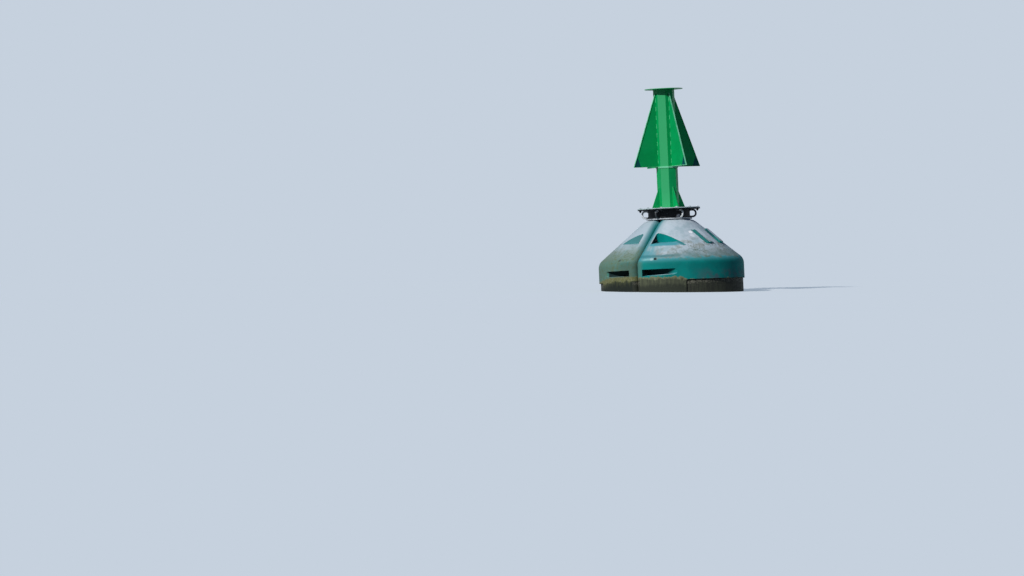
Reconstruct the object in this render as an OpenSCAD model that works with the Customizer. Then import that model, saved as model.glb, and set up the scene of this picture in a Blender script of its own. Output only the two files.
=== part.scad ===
// Lateral buoy in its own frame: millimetres, +Z up along the mast, origin on the axis at the waterline.
// The float is two half rings clamped round a steel spine. Their seam lies in the plane x = 0.

/* [Float] */
// Diameter of the float over its rim
float_d = 2500; // [2400:10:2600]
// Height of the flat deck above the waterline
float_top = 1230; // [1180:10:1300]
// Diameter at which the cone would meet the flat deck
deck_d = 790; // [770:2:860]
// Slope of the cone from the horizontal, in degrees
cone_slope = 39.9; // [38:0.1:42]
// Depth of the float's underside below the waterline
float_draught = 620; // [560:10:700]
// Depth at which the straight wall turns in below the waterline
skirt_depth = 300; // [260:10:340]
// Diameter of the float's flat underside
float_bottom_d = 1600; // [1500:10:1700]
// Radius of the shoulder between wall and cone
shoulder_round = 170; // [140:1:200]
// Radius of the brow between cone and deck
brow_round = 300; // [200:5:320]
// Radius of the turns below the waterline
bilge_round = 150; // [135:5:170]

/* [Seam] */
// Gap between the two halves
seam_gap = 6; // [4:0.5:12]
// Radius that rounds each half's edge along the seam
seam_round = 105; // [80:1:120]
// How far the seam rounding lies under the float's skin
seam_sink = 2; // [1:0.25:3]

/* [Handling pockets] */
// Distance of the pockets' side walls from the seam plane
pocket_inset = 128; // [110:1:150]
// Horizontal distance from the rim in to the upper pockets' back walls
pocket_setback = 588; // [540:2:620]
// Height of the upper pockets' floors above the shoulder's corner, at the back wall
pocket_sill = 316; // [300:1:330]
// Slope of the upper pockets' floors down to the rim, in degrees
pocket_drain = 7; // [4:0.5:10]
// Radius of the upright inner corner of the upper pockets
pocket_round = 40; // [20:1:60]
// Horizontal distance from the rim in to the slots' back walls
slot_setback = 216; // [180:1:240]
// Height of the slots' roofs above the waterline
slot_top = 370; // [350:1:380]
// Height of the slots at the back wall
slot_h = 98; // [90:1:110]
// Fall of the slots' floors from back wall to rim
slot_fall = 20; // [10:1:30]
// Radius of the slots' inner edges
slot_round = 36; // [20:1:42]

/* [Vents] */
// Distance of the vent wells from the seam plane
vent_inset = 347; // [320:1:380]
// Diameter of a vent well in the shoulder
vent_d = 54; // [40:1:70]
// Depth of a vent well
vent_depth = 14; // [8:1:20]
// Place of the vent wells on the shoulder's rounding, from the wall at 0 to the cone at 1
vent_rise = 0.8; // [0.5:0.05:0.9]

/* [Pads and lower recess] */
// Width of one raised pad on the cone
pad_w = 120; // [100:1:140]
// Length of a pad down the slope
pad_l = 375; // [340:1:400]
// Height of a pad over the cone
pad_h = 36; // [20:0.5:40]
// Gap between the two pads
pad_gap = 243; // [220:1:260]
// Turn of the pair of pads about the mast from the half's middle, in degrees
pad_turn = -3; // [-6:0.5:0]
// Corner radius of a pad
pad_round = 16; // [8:1:30]
// Distance of the pads' middle inwards of the middle of the cone, on plan
pad_uphill = 48; // [20:1:70]
// Height above the waterline of the rim's lower edge over the recess
rim_low = 178; // [150:1:200]
// Depth of the recess under the rim
recess_depth = 26; // [15:1:35]
// Half of the angle that the recess covers, in degrees
recess_half = 49.3; // [44:0.1:52]
// Corner radius of the recess
recess_round = 30; // [15:1:45]

/* [Spine and hub] */
// Outer diameter of the spine tube through the float
spine_d = 406.4; // [390:0.2:420]
// Wall of the spine tube
spine_wall = 12.7; // [8:0.1:16]
// Clearance between the spine and the float's bore
spine_clear = 2; // [1:0.5:4]
// Diameter of the hub's lower flange, which sits on the deck
hub_seat_d = 790; // [780:2:820]
// Thickness of the hub's lower flange
hub_seat_t = 20; // [15:1:25]
// Outer diameter of the hub drum
drum_d = 720; // [700:2:740]
// Wall of the hub drum
drum_wall = 12; // [8:0.5:20]
// Height of the hub drum
drum_h = 150; // [144:1:170]
// Diameter of the hub's upper flange and of the mast's foot flange
joint_d = 1076; // [1070:1:1100]
// Thickness of the hub's upper flange
joint_t = 14; // [12:0.5:20]
// Circle of the bolts that join the two flanges
joint_pcd = 1016; // [1014:1:1020]
// Bolt hole in the two flanges
joint_hole = 26; // [20:0.5:28]
// Number of bolts in the two flanges
joint_bolts = 12; // [8:1:16]

/* [Lifting eyes] */
// Number of lifting eyes round the hub
eye_count = 6; // [4:1:6]
// Diameter of the bent bar
eye_bar = 32; // [26:1:36]
// Radius from the axis to the eyes' outer side
eye_reach = 476; // [465:1:490]
// Bend radius at the middle of the bar
eye_bend = 54; // [44:1:56]
// Clearance of an eye under and over the hub's flanges
eye_clear = 1; // [0.5:0.5:3]

/* [Mast] */
// Width across the flats of the eight-sided mast
mast_af = 340; // [320:1:350]
// Wall of the mast
mast_wall = 8; // [5:0.5:12]
// Height of the lantern plate's top above the waterline
mast_top = 3482; // [3400:2:3560]
// Thickness of the mast's foot flange
foot_t = 14; // [12:0.5:20]
// Turn of the first fin from +X about the mast, in degrees
fin_turn = -30; // [-45:1:0]
// Radius from the axis to the foot of the gussets
gusset_reach = 326; // [280:1:360]
// Height of the gussets
gusset_h = 364; // [300:1:400]
// Thickness of the gussets
gusset_t = 12; // [8:0.5:16]
// Toe height at the gussets' tips
gusset_toe = 6; // [4:1:12]

/* [Daymark fins] */
// Number of fins
fin_count = 4; // [4:4:4]
// Distance of the fins' tops below the lantern plate
fin_drop = 67; // [50:1:90]
// Height of the fins
fin_h = 1267; // [1150:1:1350]
// Radius from the axis to the fins' lower tips
fin_reach = 657; // [600:1:700]
// Thickness of the fins' plate
fin_t = 6; // [4:0.5:8]
// Width of the flat bars along the fins' edges
lip_w = 24; // [18:1:30]
// Thickness of the flat bars
lip_t = 6; // [4:0.5:8]
// Height of the collar round the mast at the fins' foot
collar_h = 22; // [15:1:40]
// Thickness of the collar
collar_t = 10; // [6:0.5:14]

/* [Lantern plate] */
// Diameter of the lantern plate
plate_d = 654; // [600:2:700]
// Thickness of the lantern plate
plate_t = 10; // [8:0.5:14]
// Circle of the lantern's fixing holes
lantern_pcd = 200; // [180:1:220]
// Fixing hole for the lantern
lantern_hole = 14; // [10:0.5:18]
// Number of fixing holes
lantern_bolts = 4; // [3:1:4]

/* [Tail and ballast] */
// Depth of the spine's lower end below the waterline
tail_depth = 1500; // [1400:10:1600]
// Diameter of the clamp flange under the float
clamp_d = 900; // [800:10:1000]
// Thickness of the clamp flange
clamp_t = 25; // [20:1:30]
// Number of ribs under the clamp flange
clamp_ribs = 4; // [4:1:8]
// Radius from the axis to the ribs' outer ends
clamp_rib_reach = 400; // [360:1:420]
// Height of the ribs
clamp_rib_h = 260; // [200:1:320]
// Thickness of the ribs
clamp_rib_t = 12; // [8:0.5:16]
// Diameter of the ballast discs
ballast_d = 900; // [800:10:1000]
// Thickness of one ballast disc
ballast_t = 65; // [40:1:80]
// Clearance between a ballast disc and the spine
ballast_clear = 2; // [1:0.5:4]
// Diameter of the spine's end flange
end_d = 600; // [560:5:650]
// Thickness of the end flange
end_t = 25; // [20:1:30]

/* [Mooring eye] */
// Thickness of the mooring eye's plate
shackle_t = 50; // [40:1:60]
// Bore of the mooring eye
shackle_hole = 70; // [60:1:80]
// Radius of the mooring eye round its bore
shackle_round = 90; // [80:1:100]
// Depth of the bore's centre below the end flange
shackle_drop = 120; // [110:1:150]
// Width of the mooring eye's plate at the end flange
shackle_w = 300; // [260:1:340]

/* [Hidden] */
$fn = 96;

float_r = float_d / 2;
deck_r = deck_d / 2;
spine_r = spine_d / 2;
drum_r = drum_d / 2;
mast_r = mast_af / 2;
bore_r = spine_r + spine_clear;
shoulder_z = float_top - (float_r - deck_r) * tan(cone_slope);

hub_z = float_top + hub_seat_t;
hub_top_z = hub_z + drum_h;
foot_z = hub_top_z + joint_t;
mast_z = foot_z + foot_t;
plate_z = mast_top - plate_t;
fin_top_z = plate_z - fin_drop;
fin_z = fin_top_z - fin_h;

// Float outline from the bore's lower edge round to its upper edge: radius, height, corner radius
outline = [
    [bore_r, -float_draught, 0],
    [float_bottom_d / 2, -float_draught, bilge_round],
    [float_r, -skirt_depth, bilge_round],
    [float_r, shoulder_z, shoulder_round],
    [deck_r, float_top, brow_round],
    [bore_r, float_top, 0]];
last = len(outline) - 1;

// Direction of the outward normal of the side from corner i to the next, from the horizontal
function side_angle(i) =
    let (d = outline[i + 1] - outline[i]) atan2(-d[0], d[1]);
function side_length(i) =
    let (d = outline[i + 1] - outline[i]) norm([d[0], d[1]]);
function side_dir(i) =
    let (d = outline[i + 1] - outline[i]) [d[0], d[1]] / side_length(i);
function corner_turn(i) = side_angle(i) - side_angle(i - 1);
// Length of a side that its corner's rounding takes
function corner_cut(i) = i == 0 || i == last ? 0 : outline[i][2] * tan(corner_turn(i) / 2);
function corner_start(i) = [outline[i][0], outline[i][1]] - corner_cut(i) * side_dir(i - 1);
// Centre of the rounding at corner i
function corner_centre(i) =
    let (a = side_angle(i - 1)) corner_start(i) - outline[i][2] * [cos(a), sin(a)];

arc_steps = 7;
outline_points = concat([[bore_r, -float_draught]],
    [for (i = [1 : last - 1], k = [0 : arc_steps])
        let (a = side_angle(i - 1) + corner_turn(i) * k / arc_steps)
        corner_centre(i) + outline[i][2] * [cos(a), sin(a)]],
    [[bore_r, float_top]]);

// Corner that the seam rounding takes off: distance from the seam plane, height over the skin
arc_facets = 6;
seam_deep = seam_round + seam_sink;
seam_mid = seam_gap / 2 + seam_round - 1;
seam_section = concat([[-seam_gap, seam_round / 3], [-seam_gap, -seam_deep]],
    [for (k = [0 : arc_facets])
        let (a = 90 * k / arc_facets)
        [seam_mid - seam_round * cos(a), seam_round * sin(a) - seam_deep]],
    [[seam_mid, seam_round / 3]]);

// The seam's edge runs along the outline and on into the bore at both ends.
seam_path = concat([[bore_r / 2, -float_draught]],
    [for (i = [1 : len(outline_points) - 2]) outline_points[i]],
    [[bore_r / 2, float_top]]);
path_last = len(seam_path) - 1;

// Outward normal of the path's step j, and the mitred normal at its point j
function step_normal(j) =
    let (d = seam_path[j + 1] - seam_path[j]) [d[1], -d[0]] / norm(d);
function mitre(j) =
    let (a = step_normal(max(j - 1, 0)), b = step_normal(min(j, path_last - 1))) (a + b) / (1 + a * b);

// Tool that rounds one edge of the seam: the section swept along the path, mitred at each point
module seam_cutter() {
    n = len(seam_section);
    points = [for (j = [0 : path_last], s = seam_section)
        let (p = seam_path[j] + s[1] * mitre(j)) [s[0], p[0], p[1]]];
    sides = [for (j = [0 : path_last - 1], k = [0 : n - 1])
        let (m = (k + 1) % n) [j * n + k, (j + 1) * n + k, (j + 1) * n + m, j * n + m]];
    ends = [[for (k = [0 : n - 1]) k], [for (k = [n - 1 : -1 : 0]) path_last * n + k]];
    polyhedron(points, concat(sides, ends));
}

// Upper pocket: an upright side wall, an upright back wall and a floor that drains outwards, cut into the cone
module upper_pocket() {
    back = float_r - pocket_setback;
    fall = pocket_setback * tan(pocket_drain);
    floor_z = shoulder_z + pocket_sill;
    intersection() {
        translate([pocket_inset, back, floor_z - fall])
            linear_extrude(float_top + fall - floor_z)
                union() {
                    translate([pocket_round, 0]) square([float_r, pocket_setback]);
                    translate([0, pocket_round]) square([float_r, pocket_setback]);
                    translate([pocket_round, pocket_round]) circle(pocket_round);
                }
        rotate([90, 0, 90])
            linear_extrude(2 * float_r)
                polygon([
                    [back - pocket_setback, floor_z + fall],
                    [back + pocket_setback, floor_z - fall],
                    [back + pocket_setback, 2 * float_top],
                    [back - pocket_setback, 2 * float_top]]);
    }
}

// Slot in the rim, with a floor that drains outwards
module rim_slot() {
    back = float_r - slot_setback;
    over = slot_setback / 4;
    fall = slot_fall * (slot_setback + over) / slot_setback;
    translate([pocket_inset, 0, 0])
        rotate([90, 0, 90])
            linear_extrude(float_r)
                polygon(concat(
                    [[float_r + over, slot_top], [float_r + over, slot_top - slot_h - fall]],
                    [for (e = [[slot_top - slot_h + slot_round, 270], [slot_top - slot_round, 180]],
                            k = [0 : arc_facets])
                        let (a = e[1] - 90 * k / arc_facets)
                        [back + slot_round + slot_round * cos(a), e[0] + slot_round * sin(a)]]));
}

// Blind round well in the shoulder, square to its rounding
module vent_well() {
    tilt = vent_rise * corner_turn(3);
    skin = corner_centre(3) + shoulder_round * [cos(tilt), sin(tilt)];
    turn = asin(vent_inset / skin[0]);
    rotate([0, 0, 90 - turn])
        translate([skin[0], 0, skin[1]])
            rotate([0, 90 - tilt, 0])
                translate([0, 0, -vent_depth]) cylinder(h = 4 * vent_depth, d = vent_d);
}

// Pair of raised pads that follow the cone
module pads() {
    mid_r = (float_r + deck_r) / 2 - pad_uphill;
    mid_z = float_top - (mid_r - deck_r) * tan(cone_slope);
    down = [cos(cone_slope), -sin(cone_slope)];
    out = [sin(cone_slope), cos(cone_slope)];
    intersection() {
        rotate([0, 0, -90])
            rotate_extrude(angle = 180)
                polygon([for (c = [[-1, -1], [1, -1], [1, 1], [-1, 1]])
                    [mid_r, mid_z] + c[0] * pad_l * down + c[1] * pad_h * out]);
        rotate([0, 0, pad_turn])
            translate([mid_r, 0, mid_z])
                rotate([0, cone_slope, 0])
                    for (side = [0, 1])
                        mirror([0, side, 0])
                            translate([-pad_l / 2, pad_gap / 2, -pad_l / 2])
                                linear_extrude(pad_l) rounded_rectangle(pad_l, pad_w, pad_round);
    }
}

// Rectangle from the origin, with round corners
module rounded_rectangle(w, h, r) {
    union() {
        translate([r, 0]) square([w - 2 * r, h]);
        translate([0, r]) square([w, h - 2 * r]);
        for (x = [r, w - r], y = [r, h - r])
            translate([x, y]) circle(r);
    }
}

// Recess in the lower wall, seen square on as a rectangle with round corners
module lower_recess() {
    half_w = float_r * sin(recess_half);
    foot = -skirt_depth + bilge_round;
    intersection() {
        translate([0, 0, foot - recess_round])
            difference() {
                cylinder(h = rim_low - foot + 2 * recess_round, r = float_r + recess_depth);
                translate([0, 0, -recess_round])
                    cylinder(h = rim_low - foot + 4 * recess_round, r = float_r - recess_depth);
            }
        rotate([90, 0, 90])
            linear_extrude(float_r + 2 * recess_depth)
                translate([-half_w, foot])
                    rounded_rectangle(2 * half_w, rim_low - foot, recess_round);
    }
}

// The half on the +X side. Both halves are the same moulding, and one of them carries the pads.
module float_half(padded) {
    difference() {
        union() {
            rotate([0, 0, -90]) rotate_extrude(angle = 180) polygon(outline_points);
            if (padded) pads();
        }
        translate([-seam_gap, -float_d, -2 * float_draught])
            cube([1.5 * seam_gap, 2 * float_d, 2 * (float_top + float_draught)]);
        for (side = [0, 1])
            mirror([0, side, 0]) {
                seam_cutter();
                upper_pocket();
                rim_slot();
                vent_well();
            }
        lower_recess();
    }
}

module ring(outer, inner, h) {
    difference() {
        cylinder(h = h, r = outer);
        translate([0, 0, -h]) cylinder(h = 3 * h, r = inner);
    }
}

module bolt_circle(pcd, hole, count, h) {
    for (i = [0 : count - 1])
        rotate([0, 0, 360 * i / count])
            translate([pcd / 2, 0, -h]) cylinder(h = 3 * h, d = hole);
}

// Bolt holes of the joint under the mast, which straddle the fins
module joint_holes(h) {
    rotate([0, 0, fin_turn + 180 / joint_bolts]) bolt_circle(joint_pcd, joint_hole, joint_bolts, h);
}

module spine_tube() {
    color("#5a6166")
        translate([0, 0, -tail_depth])
            ring(spine_r, spine_r - spine_wall, tail_depth + float_top);
}

module hub_seat_flange() {
    color("#8a9096")
        translate([0, 0, float_top]) cylinder(h = hub_seat_t, d = hub_seat_d);
}

module hub_drum() {
    color("#15191d")
        translate([0, 0, hub_z]) ring(drum_r, drum_r - drum_wall, drum_h);
}

module hub_top_flange() {
    color("#2c3236")
        translate([0, 0, hub_top_z])
            difference() {
                cylinder(h = joint_t, d = joint_d);
                joint_holes(joint_t);
            }
}

// Bent round bar, welded to the drum at both ends
module lifting_eye(i) {
    h = drum_h - 2 * eye_clear - eye_bar;
    leg_end = eye_reach - eye_bar / 2 - eye_bend;
    low_z = hub_z + eye_clear + eye_bar / 2;
    color("#6f757c")
        rotate([0, 0, fin_turn + 360 / eye_count * i])
            difference() {
                translate([0, 0, low_z]) {
                    for (z = [0, h])
                        translate([drum_r - drum_wall, 0, z])
                            rotate([0, 90, 0]) cylinder(h = leg_end - drum_r + drum_wall, d = eye_bar);
                    translate([leg_end + eye_bend, 0, eye_bend])
                        cylinder(h = h - 2 * eye_bend, d = eye_bar);
                    translate([leg_end, 0, eye_bend])
                        rotate([-90, 0, 0])
                            rotate_extrude(angle = 90) translate([eye_bend, 0]) circle(d = eye_bar);
                    translate([leg_end, 0, h - eye_bend])
                        rotate([90, 0, 0])
                            rotate_extrude(angle = 90) translate([eye_bend, 0]) circle(d = eye_bar);
                }
                translate([0, 0, hub_z]) cylinder(h = drum_h, r = drum_r);
            }
}

module mast_foot_flange() {
    color("#3f9a68")
        translate([0, 0, foot_z])
            difference() {
                cylinder(h = foot_t, d = joint_d);
                joint_holes(foot_t);
            }
}

// Eight-sided prism with a flat side towards each fin
module octagon(across, h) {
    rotate([0, 0, fin_turn + 22.5])
        cylinder(h = h, r = across / 2 / cos(22.5), $fn = 8);
}

module mast_tube() {
    color("#0c9a50")
        translate([0, 0, mast_z])
            difference() {
                octagon(mast_af, plate_z - mast_z);
                translate([0, 0, -mast_wall]) octagon(mast_af - 2 * mast_wall, plate_z - mast_z + 2 * mast_wall);
            }
}

module gusset(i) {
    color("#0c8f4b")
        rotate([0, 0, fin_turn + 360 / fin_count * i])
            translate([0, gusset_t / 2, 0])
                rotate([90, 0, 0])
                    linear_extrude(gusset_t)
                        polygon([
                            [mast_r, mast_z],
                            [gusset_reach, mast_z],
                            [gusset_reach, mast_z + gusset_toe],
                            [mast_r + gusset_toe, mast_z + gusset_h],
                            [mast_r, mast_z + gusset_h]]);
}

// Tapering plate with a flat bar along its slanted edge and its foot. The bar's inner side meets the mast at the top.
module fin(i) {
    lean = atan2(fin_reach - mast_r, fin_h);
    edge = lip_t / cos(lean);
    inner = fin_reach - edge - lip_t * tan(lean);
    color("#068a47")
        rotate([0, 0, fin_turn + 360 / fin_count * i])
            rotate([90, 0, 0]) {
                translate([0, 0, -fin_t / 2])
                    linear_extrude(fin_t)
                        polygon([
                            [mast_r, fin_z],
                            [fin_reach, fin_z],
                            [mast_r + edge, fin_top_z],
                            [mast_r, fin_top_z]]);
                translate([0, 0, -lip_w / 2])
                    linear_extrude(lip_w)
                        polygon([
                            [mast_r, fin_z],
                            [fin_reach, fin_z],
                            [mast_r + edge, fin_top_z],
                            [mast_r, fin_top_z],
                            [inner, fin_z + lip_t],
                            [mast_r, fin_z + lip_t]]);
            }
}

module fin_collar() {
    color("#2aa566")
        translate([0, 0, fin_z - collar_h])
            difference() {
                octagon(mast_af + 2 * collar_t, collar_h);
                translate([0, 0, -collar_h]) octagon(mast_af, 3 * collar_h);
            }
}

module lantern_plate() {
    color("#0a7a40")
        translate([0, 0, plate_z])
            difference() {
                cylinder(h = plate_t, d = plate_d);
                bolt_circle(lantern_pcd, lantern_hole, lantern_bolts, plate_t);
            }
}

module clamp_flange() {
    color("#4a4f52")
        translate([0, 0, -float_draught - clamp_t]) ring(clamp_d / 2, spine_r, clamp_t);
}

module clamp_ribs() {
    top_z = -float_draught - clamp_t;
    color("#4a4f52")
        for (i = [0 : clamp_ribs - 1])
            rotate([0, 0, 360 / clamp_ribs * (i + 0.5)])
                translate([0, clamp_rib_t / 2, 0])
                    rotate([90, 0, 0])
                        linear_extrude(clamp_rib_t)
                            polygon([
                                [spine_r, top_z],
                                [clamp_rib_reach, top_z],
                                [clamp_rib_reach, top_z - clamp_t],
                                [spine_r + clamp_t, top_z - clamp_rib_h],
                                [spine_r, top_z - clamp_rib_h]]);
}

module ballast_disc(i) {
    color("#3d3a36")
        translate([0, 0, -tail_depth + i * ballast_t])
            ring(ballast_d / 2, spine_r + ballast_clear, ballast_t);
}

module tail_end_flange() {
    color("#4a4f52")
        translate([0, 0, -tail_depth - end_t]) cylinder(h = end_t, d = end_d);
}

module mooring_eye() {
    color("#4a4f52")
        translate([0, shackle_t / 2, -tail_depth - end_t])
            rotate([90, 0, 0])
                difference() {
                    linear_extrude(shackle_t)
                        union() {
                            polygon([
                                [-shackle_w / 2, 0],
                                [-shackle_round, -shackle_drop],
                                [shackle_round, -shackle_drop],
                                [shackle_w / 2, 0]]);
                            translate([0, -shackle_drop]) circle(shackle_round);
                        }
                    translate([0, -shackle_drop, -shackle_t]) cylinder(h = 3 * shackle_t, d = shackle_hole);
                }
}

color("#0f7f78") float_half(true);  // float_half_a
color("#0d736d") rotate([0, 0, 180]) float_half(false);  // float_half_b
spine_tube();
hub_seat_flange();
hub_drum();
hub_top_flange();
for (i = [0 : eye_count - 1])
    lifting_eye(i);
mast_foot_flange();
mast_tube();
for (i = [0 : fin_count - 1]) {
    gusset(i);
    fin(i);
}
fin_collar();
lantern_plate();
clamp_flange();
clamp_ribs();
for (i = [0 : 1])
    ballast_disc(i);
tail_end_flange();
mooring_eye();
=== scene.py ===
# Lateral navigation buoy: finishes, small fittings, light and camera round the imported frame
import math

import bmesh
import bpy
import numpy as np
from mathutils import Matrix, Vector
from mathutils.bvhtree import BVHTree


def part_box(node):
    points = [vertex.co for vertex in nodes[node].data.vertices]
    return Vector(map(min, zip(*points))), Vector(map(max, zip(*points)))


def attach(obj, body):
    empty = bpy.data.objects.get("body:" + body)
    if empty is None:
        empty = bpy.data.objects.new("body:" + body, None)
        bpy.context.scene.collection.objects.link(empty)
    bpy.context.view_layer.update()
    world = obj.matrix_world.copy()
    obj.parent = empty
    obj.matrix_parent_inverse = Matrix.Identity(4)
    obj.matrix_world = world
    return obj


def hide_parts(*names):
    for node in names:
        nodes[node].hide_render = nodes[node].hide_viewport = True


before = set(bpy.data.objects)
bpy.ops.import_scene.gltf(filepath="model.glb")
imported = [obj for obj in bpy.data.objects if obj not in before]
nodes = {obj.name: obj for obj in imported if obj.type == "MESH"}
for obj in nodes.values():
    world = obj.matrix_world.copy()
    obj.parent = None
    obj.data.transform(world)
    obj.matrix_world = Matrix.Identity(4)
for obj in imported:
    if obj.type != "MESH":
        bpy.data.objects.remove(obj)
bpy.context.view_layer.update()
print("frame loaded with", len(nodes), "nodes")


# Colours, nodes and masks

def linear(hexText):
    # sRGB to linear light: a plain division below the knee, a power of 2.4 above it
    value = np.array([int(hexText[i:i + 2], 16) for i in (1, 3, 5)]) / 255
    bent = np.where(value <= 0.04045, value / 12.92, ((value + 0.055) / 1.055) ** 2.4)
    return (*bent.tolist(), 1.0)


def addNode(tree, kind, links=None, out=0, **settings):
    # Adds one node. Links fill its sockets with plain values, hex colours or other sockets; gives one output.
    node = tree.nodes.new("ShaderNode" + kind)
    for name, value in settings.items():
        setattr(node, name, value)
    for name, value in (links or {}).items():
        if isinstance(value, bpy.types.NodeSocket):
            tree.links.new(value, node.inputs[name])
        else:
            node.inputs[name].default_value = linear(value) if isinstance(value, str) else value
    return node.outputs[out] if len(node.outputs) else node


def mask(tree, f, *shares, patch=None, runs=None, near=None, **ranges):
    # How much of a coat shows at each point: the product of the shares given and of soft steps. The range of
    # a field has two numbers for an edge, 0 at the first and 1 at the second, and four for a band. A patch is
    # fractal noise in blotches of a size in millimetres, cut by a step, and runs are such blotches drawn out
    # downhill. Near is a spot: its centre, and the reach within which it fades out.
    steps = [(f[name], *ends[i:i + 2]) for name, ends in ranges.items() for i in range(0, len(ends), 2)]
    for where, blotches in (("place", patch), ("streak", runs)):
        if blotches:
            noise = addNode(tree, "TexNoise", {
                "Vector": f[where], "Scale": 1000 / blotches[0], "Detail": 4.0, "Roughness": 0.55})
            steps.append((noise, *blotches[1:]))
    if near:
        centre, reach = near
        away = addNode(tree, "VectorMath", {0: f["place"], 1: centre}, out="Value", operation="DISTANCE")
        steps.append((away, reach, reach / 2))
    shares = list(shares)
    for value, start, end in steps:
        rising = start < end
        shares.append(addNode(tree, "MapRange", {
            "Value": value, "From Min": min(start, end), "From Max": max(start, end),
            "To Min": float(not rising), "To Max": float(rising)}, interpolation_type="SMOOTHSTEP"))
    result = shares[0]
    for share in shares[1:]:
        result = addNode(tree, "Math", {0: result, 1: share}, operation="MULTIPLY")
    return result


def coats(tree, ground, layers):
    # Lays colours over a ground one after the other, each through its mask
    result = ground
    for colour, share in layers:
        result = addNode(tree, "Mix", {0: share, 6: result, 7: colour}, out=2, data_type="RGBA")
    return result


def makeMaterial(name, fill):
    # A material whose nodes come from a function that gives their shader
    material = bpy.data.materials.new(name)
    material.use_nodes = True
    tree = material.node_tree
    tree.nodes.clear()
    addNode(tree, "OutputMaterial", {"Surface": fill(tree)})
    return material


def fields(tree):
    # What a mask reads at a point: its place, normal, x, y and height, how far it faces up, its distance from
    # the seam's plane, from the plane across it and from the axis, and its streak place, which changes fast
    # round the axis and slowly downhill
    place = addNode(tree, "TexCoord", out="Object")
    axes = addNode(tree, "SeparateXYZ", {0: place}).node.outputs
    normal = addNode(tree, "NewGeometry", out="Normal")
    flat = addNode(tree, "VectorMath", {0: place, 1: (1, 1, 0)}, operation="MULTIPLY")
    heading = addNode(tree, "VectorMath", {0: flat}, operation="NORMALIZE")
    slow = addNode(tree, "VectorMath", {0: place, 1: (0, 0, 0.12)}, operation="MULTIPLY")
    return {
        "place": place, "normal": normal, "x": axes[0], "y": axes[1], "height": axes[2],
        "up": addNode(tree, "SeparateXYZ", {0: normal}, out="Z"),
        "seam": addNode(tree, "Math", {0: axes[0]}, operation="ABSOLUTE"),
        "depth": addNode(tree, "Math", {0: axes[1]}, operation="ABSOLUTE"),
        "radius": addNode(tree, "VectorMath", {0: flat}, out="Value", operation="LENGTH"),
        "streak": addNode(tree, "VectorMath", {0: heading, 1: slow}, operation="ADD")}


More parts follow.
